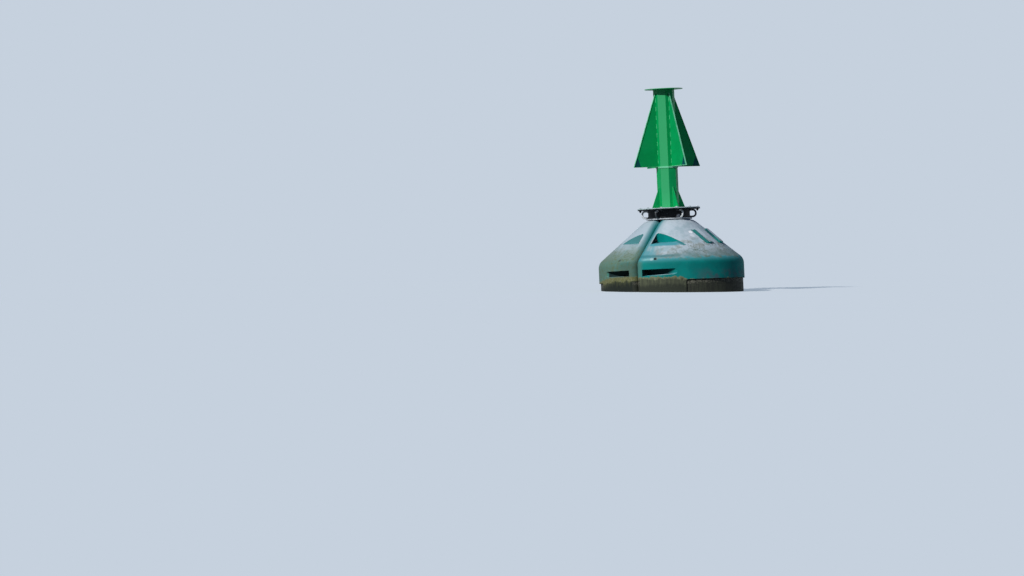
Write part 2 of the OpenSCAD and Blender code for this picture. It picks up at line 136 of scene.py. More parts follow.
# Float: rotationally moulded polyethylene, teal right through and smooth, gone chalky in the sun. Droppings
# grey its upper slopes, algae greens its lower ones, and below the splash line it is dark with weed.
# Lengths are in metres from the waterline, the seam's plane or the axis, and in millimetres where a name ends
# in Mm. Each half has its own share of the coats whose colours it has in common with the other.
floatLook = {
    "plastic": "#01867F", "plasticDeep": "#007A75", "chalk": "#5CA3AC",
    "droppingsThin": "#B0C2C8", "beige": "#979A8E", "vein": "#666C5C", "lowDirt": "#748C8A",
    "edgeGrowth": "#68694B", "algae": "#68806F", "algaeSpot": "#64704C",
    "dust": "#4E5F66", "crust": "#93937A", "slime": "#282D29", "mud": "#3A3C35", "speck": "#7C7A6C",
    "wetCone": "#4A9DA6", "shoulderDarkBand": "#2E7478", "shoulderHighlight": "#A4D4CC", "splash": "#FFFFFF",
    "shade": "#0E1E24", "drainedAndHighlight": "#A9C9CC", "backWall": "#5A898E", "underArc": "#1E8084",
    "padEdge": "#2C7370", "padPaintedShade": "#1B4A50", "padFootPaintedLight": "#3CC0B4", "padTurn": 3.0,
    "padEdges": ((-0.2415, 0.030), (0.1215, 0.006)),  # place across and width of each strip of bare plastic
    "splashSpots": (  # centre and reach of each
        ((0.597, -0.335, 0.988), 0.048), ((0.650, -0.375, 0.925), 0.055),
        ((0.285, -1.172, 0.535), 0.038)),
    "broadMm": 333, "raggedMm": 71.4, "wander": 0.06,  # wander: how far up and down the stains' edges go
    "crackMm": 90.9, "warpMm": 111, "warp": 0.10,
    "grainMm": 16.67,  # the real grain is about 2 mm, too fine to show, so it is drawn coarser
    "bumpMm": 1.2, "grainHigh": 0.25, "growthHigh": 5.0,
    "inRim": (1.246, 1.240), "offSeam": (0.124, 0.127),  # soft edges inside the rim's face and off the seam
    "roughness": 0.6, "roughnessSlope": 0.72, "specular": 0.05,
    # bare, bareThick: where beside the seam thin and thick droppings begin; whiteFrom: height at which they
    # are full; fall: the stretch from the seam over which the splash line drops from splash to splashEnd
    "halves": {
        "float_half_a": {
            "bare": (0.05, 0.15), "bareThick": (0.13, 0.21), "whiteFrom": 0.66, "droppings": "#C6D2D9",
            "beige": 0.6, "lowDirt": 0.75, "flank": 0.7, "flankPaintedShade": "#2E7A80", "flankReach": (0.13, 0.07),
            "algae": 0.03, "spots": 0.75, "streaks": 0.6,
            "rim": 0.65, "rimTint": "#5E7E72", "rimReach": (0.17, 0.07),
            "fall": (0.72, 0.86), "splash": 0.240, "splashEnd": 0.182,
            "tan": "#6E7558", "tanDeep": 0.040, "weed": "#4A4E40", "slime": 0.6,
            "seamWash": 0.6, "shoulderDarkBand": 0.60, "shoulderHighlight": 0.45, "splashes": (1.0, 0.4, 0.2),
            "slotShade": 0.50, "slotFloor": 0.8, "backWall": 0.0, "wetCone": 0.95, "underArc": 0.85},
        "float_half_b": {
            "bare": (0.0, 0.11), "bareThick": (0.08, 0.17), "whiteFrom": 0.61, "droppings": "#B6C4CC",
            "beige": 0.3, "lowDirt": 0.0, "flank": 0.4, "flankPaintedShade": "#4E7F84", "flankReach": (0.12, 0.03),
            "algae": 0.85, "spots": 0.65, "streaks": 0.25,
            "rim": 0.40, "rimTint": "#3A544F", "rimReach": (0.50, 0.14),
            "fall": (0.45, 1.15), "splash": 0.272, "splashEnd": 0.205,
            "tan": "#6C6E48", "tanDeep": 0.085, "weed": "#343A30", "slime": 0.9,
            "seamWash": 0.0, "shoulderDarkBand": 0.0, "shoulderHighlight": 0.0, "splashes": (0.0, 0.0, 0.0),
            "slotShade": 0.63, "slotFloor": 0.15, "backWall": 0.75, "wetCone": 0.1, "underArc": 0.0}}}


def floatPlastic(half):
    look, own = floatLook, floatLook["halves"][half]

    def fill(tree):
        f = fields(tree)
        place = f["place"]
        f["broad"] = addNode(tree, "TexNoise", {
            "Vector": place, "Scale": 1000 / look["broadMm"], "Detail": 3.0})
        ragged = addNode(tree, "TexNoise", {"Vector": place, "Scale": 1000 / look["raggedMm"], "Detail": 5.0})
        shift = addNode(tree, "Math", {
            0: ragged, 1: 2 * look["wander"], 2: -look["wander"]}, operation="MULTIPLY_ADD")
        f["level"] = addNode(tree, "Math", {0: f["height"], 1: shift}, operation="ADD")
        slope = mask(tree, f, up=(0.35, 0.65))
        wall = mask(tree, f, up=(0.6, 0.3))
        ground = coats(tree, look["plasticDeep"], [
            (look["plastic"], mask(tree, f, broad=(0.40, 0.60))),
            (look["chalk"], mask(tree, f, 0.75, up=(0.15, 0.75)))])

        # Droppings: thin and then thick above the shoulder, cracked and dirty towards their lower edge. The
        # cone's flank beside the seam is painted darker as painted shade.
        bend = addNode(tree, "TexNoise", {"Vector": place, "Scale": 1000 / look["warpMm"]}, out="Color")
        bent = addNode(tree, "VectorMath", {0: bend, 1: [look["warp"]] * 3, 2: place},
                       operation="MULTIPLY_ADD")
        f["cracks"] = addNode(tree, "TexVoronoi", {"Vector": bent, "Scale": 1000 / look["crackMm"]},
                              feature="DISTANCE_TO_EDGE")
        white = mask(tree, f, slope, level=(0.52, own["whiteFrom"]))
        lower = mask(tree, f, slope, level=(0.53, 0.59, 0.96, 0.78))
        droppings = [
            (look["droppingsThin"], mask(tree, f, white, 0.95, broad=(0.10, 0.38), seam=own["bare"])),
            (own["droppings"], mask(tree, f, white, 0.9, seam=own["bareThick"], patch=(180, 0.34, 0.56))),
            (look["beige"], mask(tree, f, lower, own["beige"], patch=(130, 0.44, 0.60))),
            (look["vein"], mask(tree, f, lower, 0.85, cracks=(0.07, 0.0), seam=(0.40, 0.75),
                                patch=(260, 0.38, 0.58))),
            (look["lowDirt"], mask(tree, f, slope, own["lowDirt"], level=(0.53, 0.57, 0.80, 0.58),
                                   patch=(320, 0.25, 0.60))),
            # Painted shade on the cone's flank beside the seam
            (own["flankPaintedShade"], mask(tree, f, slope, own["flank"], seam=own["flankReach"])),
            (look["edgeGrowth"], mask(tree, f, 0.6, level=(0.515, 0.54, 0.59, 0.555),
                                      patch=(190, 0.46, 0.62)))]

        greenBand = mask(tree, f, own["algae"], level=(0.86, 0.60))
        green = [
            (look["algae"], mask(tree, f, greenBand, patch=(220, 0.12, 0.40))),
            (look["algaeSpot"], mask(tree, f, greenBand, own["spots"], patch=(45, 0.50, 0.62))),
            (look["chalk"], mask(tree, f, greenBand, own["streaks"], runs=(60, 0.55, 0.68)))]

        # Fouling: below the splash line a tan edge, then weed and slime. Mud fills the lower recess.
        splashLine = addNode(tree, "MapRange", {
            "Value": f["seam"], "From Min": own["fall"][0], "From Max": own["fall"][1],
            "To Min": own["splash"], "To Max": own["splashEnd"]}, interpolation_type="SMOOTHSTEP")
        f["below"] = addNode(tree, "Math", {0: splashLine, 1: f["level"]}, operation="SUBTRACT")
        fouled = mask(tree, f, below=(0.0, 0.018))
        dribbles = mask(tree, f, runs=(26, 0.40, 0.62))
        recessed = mask(tree, f, radius=look["inRim"], height=(0.186, 0.180))
        tanDeep = own["tanDeep"]
        foul = [
            (own["rimTint"], mask(tree, f, wall, own["rim"], seam=own["rimReach"], height=(0.62, 0.58))),
            (look["dust"], mask(tree, f, wall, 0.75, level=(0.40, 0.24), seam=(0.85, 1.15),
                                patch=(140, 0.40, 0.62))),
            (own["tan"], fouled),
            (look["crust"], mask(tree, f, fouled, 0.6, below=(tanDeep + 0.02, tanDeep),
                                 patch=(22, 0.50, 0.60))),
            (own["weed"], mask(tree, f, fouled, below=(tanDeep - 0.02, tanDeep + 0.02))),
            (look["slime"], mask(tree, f, fouled, own["slime"], below=(0.10, 0.16))),
            (own["tan"], mask(tree, f, fouled, dribbles, 0.4, below=(0.22, 0.05))),
            (look["mud"], recessed),
            (own["weed"], mask(tree, f, recessed, dribbles, 0.6)),
            (look["speck"], mask(tree, f, recessed, 0.7, level=(0.10, 0.13), height=(0.174, 0.166),
                                 patch=(30, 0.42, 0.60)))]

        # Pads: bare plastic shows along their edges. They stand a little turned from the X axis. The second
        # strip's upper part is painted darker as painted shade, and the pads' down-facing walls are painted
        # light against their shade.
        turnedBack = addNode(tree, "VectorRotate", {"Vector": place, "Angle": math.radians(look["padTurn"])},
                             rotation_type="Z_AXIS")
        f["across"] = addNode(tree, "SeparateXYZ", {0: turnedBack}, out="Y")
        onPads = mask(tree, f, height=(0.772, 0.782, 1.035, 1.025), x=(0.2, 0.3))
        strips = [mask(tree, f, onPads, across=(edge - 0.016, edge - 0.010, edge + wide, edge + wide - 0.008))
                  for edge, wide in look["padEdges"]]
        pads = [(look["padEdge"], mask(tree, f, strip, 0.9)) for strip in strips]
        pads += [
            # Painted shade on the upper part of the second pad's strip
            (look["padPaintedShade"], mask(tree, f, strips[1], height=(0.86, 0.94))),
            # Painted light: the pads' down-facing walls painted bright teal against their shade
            (look["padFootPaintedLight"], mask(tree, f, onPads, up=(-0.3, -0.5), radius=(1.1, 1.0)))]

        # Wash: rain keeps the cone beside the seam bare. Round the shoulder a darker band is drawn away from
        # the seam, and near the seam a painted highlight along the shoulder's rounding.
        washed = [
            (look["chalk"], mask(tree, f, slope, own["seamWash"], level=(0.82, 0.76), seam=(0.42, 0.26),
                                 runs=(60, 0.40, 0.62))),
            (look["wetCone"], mask(tree, f, slope, own["seamWash"], level=(0.72, 0.64), seam=(0.36, 0.16))),
            # Darker band round the shoulder, away from the seam
            (look["shoulderDarkBand"], mask(tree, f, own["shoulderDarkBand"], height=(0.562, 0.580, 0.625, 0.600),
                                    seam=(0.90, 0.50))),
            # Painted highlight along the shoulder's rounding near the seam
            (look["shoulderHighlight"], mask(tree, f, own["shoulderHighlight"], height=(0.512, 0.530, 0.560, 0.546),
                                 seam=(0.08, 0.18, 0.40, 0.28)))]
        washed += [(look["splash"], mask(tree, f, share, near=spot, up=(0.15, 0.35)))
                   for spot, share in zip(look["splashSpots"], own["splashes"])]

        # Hollows: the slots and the pockets' side walls are painted dark as painted shade, most at the slots'
        # deep end by the seam. Their floors are washed pale, and the slots' floors carry a painted highlight
        # on the lit lip.
        inSlot = mask(tree, f, radius=look["inRim"], height=(0.225, 0.235, 0.380, 0.372),
                      seam=look["offSeam"])
        inPocket = mask(tree, f, height=(0.760, 0.780), seam=look["offSeam"])
        pocketFloor = mask(tree, f, inPocket, up=(0.985, 0.99, 0.999, 0.996), height=(0.85, 0.84))
        hollows = [
            # Painted shade inside the slots
            (look["shade"], mask(tree, f, inSlot, 0.92, seam=(0.66, own["slotShade"]), up=(0.95, 0.80))),
            # Washed pale, with a painted highlight on the slot's lit floor and lip
            (look["drainedAndHighlight"], mask(tree, f, inSlot, own["slotFloor"], seam=(0.20, 0.40), up=(0.80, 0.95))),
            # Painted shade on the pockets' side walls
            (look["shade"], mask(tree, f, inPocket, 0.9, seam=(0.131, 0.129), up=(0.3, 0.1))),
            (look["backWall"], mask(tree, f, inPocket, own["backWall"], depth=(0.655, 0.659, 0.668, 0.664),
                                    up=(0.3, 0.1))),
            (look["wetCone"], mask(tree, f, slope, own["wetCone"], height=(0.752, 0.780, 0.830, 0.815),
                                   seam=(0.10, 0.14, 0.68, 0.52), up=(0.90, 0.85))),
            (look["underArc"], mask(tree, f, slope, own["underArc"], height=(0.757, 0.767, 0.850, 0.845),
                                    depth=(0.655, 0.660, 0.730, 0.685), seam=(0.50, 0.53))),
            (look["drainedAndHighlight"], mask(tree, f, pocketFloor, 0.35)),
            (look["wetCone"], mask(tree, f, pocketFloor, own["wetCone"]))]
        colour = coats(tree, ground, droppings + green + foul + pads + washed + hollows)

        roughness = addNode(tree, "MapRange", {
            "Value": slope, "To Min": look["roughness"], "To Max": look["roughnessSlope"]})
        grain = addNode(tree, "TexNoise", {"Vector": place, "Scale": 1000 / look["grainMm"], "Detail": 6.0})
        growth = addNode(tree, "Math", {0: fouled, 1: look["growthHigh"], 2: look["grainHigh"]},
                         operation="MULTIPLY_ADD")
        rise = addNode(tree, "Math", {0: grain, 1: growth}, operation="MULTIPLY")
        bump = addNode(tree, "Bump", {"Height": rise, "Strength": 1.0, "Distance": look["bumpMm"] / 1000})
        return addNode(tree, "BsdfPrincipled", {
            "Base Color": colour, "Roughness": roughness, "Specular IOR Level": look["specular"],
            "Normal": bump})

    return makeMaterial("rotomouldedPolyethylene_" + half[-1], fill)


# Mast: welded steel under sprayed green enamel, semi-gloss with a faint orange peel, streaked where bleached.
# The side that faces the sun is faded and painted paler still as a painted highlight for the sun's sheen;
# its edges are worn pale and carry a painted highlight, and salt lies on its foot flange.
mastLook = {
    "enamel": "#05A259", "enamelDeep": "#029650", "bleached": "#2CA86C", "fadedAndSunSheen": "#3CAA6E",
    "scuffAndHighlight": "#8CE0B8", "salt": "#E6EEF0", "rimGrime": "#B4C6C8",
    "sunSide": (0.259, -0.966, 0.0), "collar": (2.112, 2.147),  # collar: heights of its under and upper edge
    "onFoot": (1.6, 1.5),  # soft upper limit of what lies on the foot flange
    "peelMm": 8,  # real orange peel is about 3 mm across, too fine to show, so it is drawn coarser
    "peelHighMm": 1, "peel": 0.25, "roughness": 0.45, "specular": 0.12}


def mastEnamel(tree):
    look = mastLook
    f = fields(tree)
    f["sunny"] = addNode(tree, "VectorMath", {0: f["normal"], 1: look["sunSide"]}, out="Value",
                         operation="DOT_PRODUCT")
    low, high = look["collar"]
    edges = mask(tree, f, up=(0.30, 0.34, 0.46, 0.42))
    collarLine = mask(tree, f, height=(low, low + 0.004, high + 0.001, high - 0.002))
    colour = coats(tree, look["enamel"], [
        (look["enamelDeep"], mask(tree, f, 0.7, patch=(220, 0.38, 0.64))),
        (look["bleached"], mask(tree, f, 0.25, runs=(30, 0.58, 0.72))),
        # Faces toward the sun: faded paint, and a painted highlight for the sun's sheen on them
        (look["fadedAndSunSheen"], mask(tree, f, 0.78, sunny=(0.90, 0.98))),
        # Edges and collar line: worn pale plus painted highlight; the fin foot toward +X carries the
        # strongest
        (look["scuffAndHighlight"], mask(tree, f, edges, 0.85, height=(1.5, 2.3), patch=(120, 0.25, 0.55))),
        (look["scuffAndHighlight"], mask(tree, f, collarLine, 0.45, radius=(0.26, 0.20), patch=(90, 0.25, 0.50))),
        (look["scuffAndHighlight"], mask(tree, f, collarLine, 0.25)),
        (look["scuffAndHighlight"], mask(tree, f, collarLine, 0.7, x=(0.12, 0.16), y=(0.05, 0.0))),
        (look["salt"], mask(tree, f, up=(0.85, 0.95), height=look["onFoot"], patch=(160, 0.10, 0.42))),
        (look["rimGrime"], mask(tree, f, 0.95, radius=(0.532, 0.536), height=look["onFoot"],
                                patch=(120, 0.15, 0.40)))])
    peel = addNode(tree, "TexNoise", {"Vector": f["place"], "Scale": 1000 / look["peelMm"]})
    bump = addNode(tree, "Bump", {
        "Height": peel, "Strength": look["peel"], "Distance": look["peelHighMm"] / 1000})
    return addNode(tree, "BsdfPrincipled", {
        "Base Color": colour, "Roughness": look["roughness"], "Specular IOR Level": look["specular"],
        "Normal": bump})


# Hub: steel under brushed bitumen paint, dull black and streaked by salt, with droppings beside one eye
hubLook = {
    "bitumen": "#0E1317", "streak": "#2A3034", "salt": "#8E9698", "droppings": "#E4E2E0",
    "spot": ((0.300, -0.200, 1.268), 0.055), "roughness": 0.6, "specular": 0.15}


def hubPaint(tree):
    look = hubLook
    f = fields(tree)
    colour = coats(tree, look["bitumen"], [
        (look["streak"], mask(tree, f, 0.6, runs=(22, 0.52, 0.68))),
        (look["salt"], mask(tree, f, 0.6, patch=(60, 0.66, 0.72))),
        (look["droppings"], mask(tree, f, near=look["spot"]))])
    return addNode(tree, "BsdfPrincipled", {
        "Base Color": colour, "Roughness": look["roughness"], "Specular IOR Level": look["specular"]})


# Lifting eyes, seat flange and bolt heads: hot-dip galvanised steel, grey zinc gone matt and blotched chalky.
# Of the eyes, the one at -Y is drawn black, the two on -X are painted pale as painted light where the flange
# shades them, and on +X one is painted dark as painted shade and one white with droppings.
zincLook = {
    "zinc": "#A5ACB0", "dull": "#868D93", "chalky": "#D2D8DA", "bare": "#E4E8EA", "eyePaintedShade": "#1B2438",
    "blackEye": "#14191D", "droppings": "#F0F2EE", "spot": ((0.0, -0.43, 1.385), 0.06),
    "eyes": (1.254, 1.260, 1.402, 1.398),  # band of heights that holds the eyes
    "roughness": 0.55, "metallic": 0.1}


def agedZinc(tree):
    look = zincLook
    f = fields(tree)
    eyes = mask(tree, f, height=look["eyes"])
    colour = coats(tree, look["zinc"], [
        (look["dull"], mask(tree, f, patch=(30, 0.45, 0.62))),
        # Painted light on the eyes on -X, which lie in the flange's shade
        (look["bare"], mask(tree, f, eyes, 0.8, x=(-0.20, -0.35))),
        (look["chalky"], mask(tree, f, 0.85, patch=(22, 0.50, 0.62))),
        # Painted shade on the eye at +X +Y
        (look["eyePaintedShade"], mask(tree, f, eyes, 0.9, x=(0.05, 0.15), y=(0.05, 0.15))),
        # The eye at -Y drawn black
        (look["blackEye"], mask(tree, f, eyes, 0.95, seam=(0.15, 0.10), y=(-0.2, -0.3))),
        (look["droppings"], mask(tree, f, eyes, x=(0.30, 0.34), y=(-0.10, -0.14), patch=(30, 0.35, 0.55))),
        (look["droppings"], mask(tree, f, near=look["spot"]))])
    return addNode(tree, "BsdfPrincipled", {
        "Base Color": colour, "Roughness": look["roughness"], "Metallic": look["metallic"]})


# Tail below the waterline: steel under old black paint, rough and brown-green with weed and small shells
tailLook = {
    "paint": "#2E3029", "weed": "#43402C", "shell": "#8E8A78", "shellMm": 26.3, "shellHighMm": 4, "rise": 0.6,
    "roughness": 0.8}


def fouledSteel(tree):
    look = tailLook
    f = fields(tree)
    f["shells"] = addNode(tree, "TexVoronoi", {"Vector": f["place"], "Scale": 1000 / look["shellMm"]})
    colour = coats(tree, look["paint"], [
        (look["weed"], mask(tree, f, patch=(90, 0.42, 0.62))),
        (look["shell"], mask(tree, f, shells=(0.30, 0.22), patch=(200, 0.50, 0.62)))])
    bump = addNode(tree, "Bump", {
        "Height": f["shells"], "Strength": look["rise"], "Distance": look["shellHighMm"] / 1000})
    return addNode(tree, "BsdfPrincipled", {
        "Base Color": colour, "Roughness": look["roughness"], "Normal": bump})


# Ballast: grey iron as cast in sand, rough, rusted brown and fouled
ballastLook = {
    "iron": "#3A2F27", "rust": "#5E3B22", "weed": "#2E3029",
    "pits": (12, 0.3, 0.7),  # the sand's own grain is about 1 mm, too fine to show, so it is drawn coarser
    "pitDeepMm": 3, "rise": 0.7, "roughness": 0.85}


def rustyIron(tree):
    look = ballastLook
    f = fields(tree)
    colour = coats(tree, look["iron"], [
        (look["rust"], mask(tree, f, patch=(70, 0.45, 0.62))),
        (look["weed"], mask(tree, f, patch=(160, 0.46, 0.60)))])
    bump = addNode(tree, "Bump", {
        "Height": mask(tree, f, patch=look["pits"]), "Strength": look["rise"],
        "Distance": look["pitDeepMm"] / 1000})
    return addNode(tree, "BsdfPrincipled", {
        "Base Color": colour, "Roughness": look["roughness"], "Normal": bump})


# Film corners: film of fine glass beads in dark resin, rolled flat, so that its face is even and dull
beadLook = {"film": "#045653", "worn": "#06464C", "roughness": 0.5, "specular": 0.12}


def beadFilm(tree):
    look = beadLook
    colour = coats(tree, look["film"], [(look["worn"], mask(tree, fields(tree), patch=(40, 0.42, 0.60)))])
    return addNode(tree, "BsdfPrincipled", {
        "Base Color": colour, "Roughness": look["roughness"], "Specular IOR Level": look["specular"]})


# Stitch welds on the fins: the same enamel, worn thin over the beads and painted paler as a painted highlight
# for the glints on them
stitchLook = {"enamel": "#2FB878", "wornAndGlint": "#62CA98", "roughness": 0.5, "specular": 0.25}


def weldEnamelWornAndGlint(tree):
    look = stitchLook
    # Paler beads: wear, and a painted highlight for their glints
    colour = coats(tree, look["enamel"], [(look["wornAndGlint"], mask(tree, fields(tree), patch=(18, 0.44, 0.60)))])
    return addNode(tree, "BsdfPrincipled", {
        "Base Color": colour, "Roughness": look["roughness"], "Specular IOR Level": look["specular"]})


# Vent plugs: moulded black rubber, gone grey and matt, and green with algae on half b
plugLook = {"rubber": "#14191B", "grey": "#3A4242", "algae": "#62766B", "roughness": 0.7, "specular": 0.2}


def agedRubber(tree):
    look = plugLook
    f = fields(tree)
    colour = coats(tree, look["rubber"], [
        (look["grey"], mask(tree, f, patch=(14, 0.48, 0.62))),
        (look["algae"], mask(tree, f, 0.9, x=(0.1, -0.1)))])
    return addNode(tree, "BsdfPrincipled", {
        "Base Color": colour, "Roughness": look["roughness"], "Specular IOR Level": look["specular"]})


finishes = {
    "plug_rubber": makeMaterial("agedRubber", agedRubber),
    "film": makeMaterial("glassBeadFilm", beadFilm),
    "stitch": makeMaterial("weldEnamelWornAndGlintGreen", weldEnamelWornAndGlint),
    "mast_green": makeMaterial("enamelledSteelGreen", mastEnamel),
    "hub_black": makeMaterial("bitumenPaintedSteel", hubPaint),
    "eye_steel": makeMaterial("agedGalvanisedSteel", agedZinc),
    "tail_steel": makeMaterial("fouledPaintedSteel", fouledSteel),
    "ballast_iron": makeMaterial("rustyCastIron", rustyIron)}
print("finishes made")


# Meshes. A part is an array of points and a list of arrays of faces, one array for each number of corners.

def addPiece(name, part, material, smoothAngle=40):
    # An object made of one part, riding on the hull
    points, faces = part
    mesh = bpy.data.meshes.new(name)
    mesh.from_pydata(points.reshape(-1, 3).tolist(), [], [face for block in faces for face in block.tolist()])
    return addObject(name, mesh, material, smoothAngle)


def addObject(name, mesh, material, smoothAngle):
    # Shading smooth up to an angle, one material and the body that it rides on
    mesh.shade_smooth()
    mesh.set_sharp_from_angle(angle=math.radians(smoothAngle))
    mesh.materials.clear()
    mesh.materials.append(material)
    piece = bpy.data.objects.new(name, mesh)
    bpy.context.scene.collection.objects.link(piece)
    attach(piece, "root")
    return piece


def tubeFaces(rings, sides, closed=False):
    # Quads between the rings of a tube whose points run ring by ring, and two end caps where it is open
    here = np.arange(rings * sides).reshape(rings, sides)
    beside = np.roll(here, -1, axis=1)
    quads = np.stack([here, beside, np.roll(beside, -1, axis=0), np.roll(here, -1, axis=0)], axis=-1)
    if closed:
        return [quads.reshape(-1, 4)]
    return [quads[:-1].reshape(-1, 4), np.stack([here[0, ::-1], here[-1]])]


def tubeAlong(path, up, radius, sides=8, closed=False):
    # Tube along a path that never runs parallel to up: ring = point + radius (cos t lift + sin t side)
    step = np.roll(path, -1, 0) - np.roll(path, 1, 0) if closed else np.gradient(path, axis=0)
    ahead = step / np.linalg.norm(step, axis=1, keepdims=True)
    side = np.cross(ahead, np.broadcast_to(up, path.shape))
    side = side / np.linalg.norm(side, axis=1, keepdims=True)
    lift = np.cross(side, ahead)
    turn = np.linspace(0, 2 * math.pi, sides, endpoint=False)[None, :, None]
    reach = np.broadcast_to(radius, (len(path),))[:, None, None]
    points = path[:, None] + reach * (np.cos(turn) * lift[:, None] + np.sin(turn) * side[:, None])
    return points, tubeFaces(len(path), sides, closed)


def turned(profile, sides, outline=None):
    # Turned form about Z: ring = radius (cos t, sin t) at each height. An outline limits the radius at t.
    profile = np.array(profile, float)
    turn = np.linspace(0, 2 * math.pi, sides, endpoint=False)
    radius = np.repeat(profile[:, :1], sides, axis=1)
    if outline is not None:
        radius = np.minimum(radius, outline(turn)[None])
    height = np.repeat(profile[:, 1:], sides, axis=1)
    points = np.stack([radius * np.cos(turn), radius * np.sin(turn), height], axis=-1)
    return points, tubeFaces(len(profile), sides)


def hexagon(acrossFlats):
    # Outline of a hexagon: half its width over the cosine of the angle from the flat's middle
    return lambda turn: acrossFlats / 2 / np.cos((turn % (math.pi / 3)) - math.pi / 6)


def joined(parts):
    # Several parts as one: points stacked, face numbers moved up by what came before
    points, faces, count = [], [], 0
    for partPoints, partFaces in parts:
        flat = partPoints.reshape(-1, 3)
        points.append(flat)
        faces.extend(block + count for block in partFaces)
        count += len(flat)
    return np.concatenate(points), faces


def moved(part, matrix):
    # Every point of a part through one matrix
    points, faces = part
    m = np.array(matrix)
    return points.reshape(-1, 3) @ m[:3, :3].T + m[:3, 3], faces


def facing(place, direction):
    # Matrix that stands a form made along Z at a place, with its Z along a direction
    return Matrix.Translation(place) @ Vector(direction).to_track_quat("Z", "Y").to_matrix().to_4x4()


def aboutAxis(turn):
    # Matrix that turns a form about the buoy's axis
    return Matrix.Rotation(turn, 4, "Z")


# Float halves: merged copies of the frame's own, so that their roundings shade smoothly

def smoothCopy(name, material, smoothAngle):
    mesh = nodes[name].data.copy()
    work = bmesh.new()
    work.from_mesh(mesh)
    bmesh.ops.remove_doubles(work, verts=work.verts, dist=0.000001)
    work.to_mesh(mesh)
    work.free()
    for old in [a for a in mesh.attributes if a.name == "custom_normal"]:
        mesh.attributes.remove(old)
    piece = addObject(name + "_finish", mesh, material, smoothAngle)
    weigh = piece.modifiers.new("weighted normals", "WEIGHTED_NORMAL")
    weigh.keep_sharp = True
    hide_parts(name)
    return piece


halves = [smoothCopy(half, floatPlastic(half), 32) for half in floatLook["halves"]]
for node in nodes.values():
    for slot in node.material_slots:
        slot.material = finishes.get(slot.material.name.split(".")[0], slot.material)
print("slots:", sorted({s.material.name for n in nodes.values() for s in n.material_slots}))

# Fasteners: hexagon heads and nuts on washers
flangeBolts = {
    "count": 12, "pcd": 1.016, "firstTurn": -15.0,
    "head": {"across": 0.036, "high": 0.012, "washer": 0.021, "washerHigh": 0.003,
             "stud": 0.012, "studOut": 0.0, "chamfer": 0.0025},
    "nut": {"across": 0.036, "high": 0.016, "washer": 0.021, "washerHigh": 0.003,
            "stud": 0.012, "studOut": 0.014, "chamfer": 0.0025}}


def hexBolt(across, high, washer, washerHigh, stud, studOut, chamfer, bevel=0.3, crown=0.96):
    # Washer, chamfered hexagon and stud end, as closed forms stacked along Z. The washer is bevelled over a
    # share of its height, and the crown is the share of the hexagon's width that its top keeps.
    corner = across / 2 / math.cos(math.pi / 6)
    top, bevelled = washerHigh + high, washerHigh * bevel
    washerEdge = [(washer, 0), (washer, washerHigh - bevelled), (washer - bevelled, washerHigh)]
    hexEdge = [(corner, washerHigh), (corner, top - chamfer), (across / 2 * crown, top)]
    parts = [turned(washerEdge, 24), turned(hexEdge, 24, hexagon(across))]
    if studOut:
        end = top + studOut
        parts.append(turned([(stud, washerHigh), (stud, end - chamfer), (stud - chamfer, end)], 16))
    return joined(parts)


head, nut = hexBolt(**flangeBolts["head"]), hexBolt(**flangeBolts["nut"])
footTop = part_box("mast_foot_flange")[1].z
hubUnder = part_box("hub_top_flange")[0].z
heads, nuts = [], []
for i in range(flangeBolts["count"]):
    turn = math.radians(flangeBolts["firstTurn"]) + 2 * math.pi * i / flangeBolts["count"]
    place = aboutAxis(turn) @ Matrix.Translation((flangeBolts["pcd"] / 2, 0, 0))
    heads.append(moved(head, place @ Matrix.Translation((0, 0, footTop))))
    nuts.append(moved(nut, place @ facing((0, 0, hubUnder), (0, 0, -1))))
addPiece("flange_bolt_heads", joined(heads), finishes["eye_steel"])
addPiece("flange_nuts", joined(nuts), finishes["hub_black"])

# Through bolts that clamp the two halves: their nuts stand on the side walls of the pockets and slots
clampBolts = {
    "wall": 0.128,  # side walls' distance from the seam's plane
    "pocket": {"out": 0.745, "height": 0.865, "nut": {
        "across": 0.036, "high": 0.024, "washer": 0.032, "washerHigh": 0.005,
        "stud": 0.012, "studOut": 0.016, "chamfer": 0.003}},
    "slot": {"out": 1.115, "height": 0.318, "nut": {
        "across": 0.036, "high": 0.022, "washer": 0.030, "washerHigh": 0.005,
        "stud": 0.012, "studOut": 0.016, "chamfer": 0.003}}}
clampNuts = []
for sideX in (-1, 1):
    for sideY in (-1, 1):
        for bolt in (clampBolts["pocket"], clampBolts["slot"]):
            place = (sideX * clampBolts["wall"], sideY * bolt["out"], bolt["height"])
            clampNuts.append(moved(hexBolt(**bolt["nut"]), facing(place, (sideX, 0, 0))))
addPiece("clamp_bolts", joined(clampNuts), finishes["hub_black"], 30)

# Vent plugs: each is seated on the floor of its well, found by a ray down the well's axis
ventPlug = {
    "start": (0.347, 1.159, 0.545), "turn": 16.67, "tilt": 40.08, "reach": 0.1,
    # radius and height, from the edge sunk in the seat over the rim and into the socket
    "profile": ((0.021, -0.002), (0.021, 0.007), (0.01806, 0.010), (0.008, 0.010), (0.0072, 0.003))}
plug = turned(ventPlug["profile"], 24)
turn, tilt = math.radians(ventPlug["turn"]), math.radians(ventPlug["tilt"])
outward = Vector((math.cos(tilt) * math.sin(turn), math.cos(tilt) * math.cos(turn), math.sin(tilt)))
plugs = []
for half, sideX in zip(halves, (1, -1)):
    surface = BVHTree.FromObject(half, bpy.context.evaluated_depsgraph_get())
    for sideY in (-1, 1):
        mirror = Matrix.Diagonal((sideX, sideY, 1))
        axis, start = mirror @ outward, mirror @ Vector(ventPlug["start"])
        seat, *_ = surface.ray_cast(start + ventPlug["reach"] * axis, -axis)
        plugs.append(moved(plug, facing(seat, axis)))
addPiece("vent_plugs", joined(plugs), finishes["plug_rubber"])
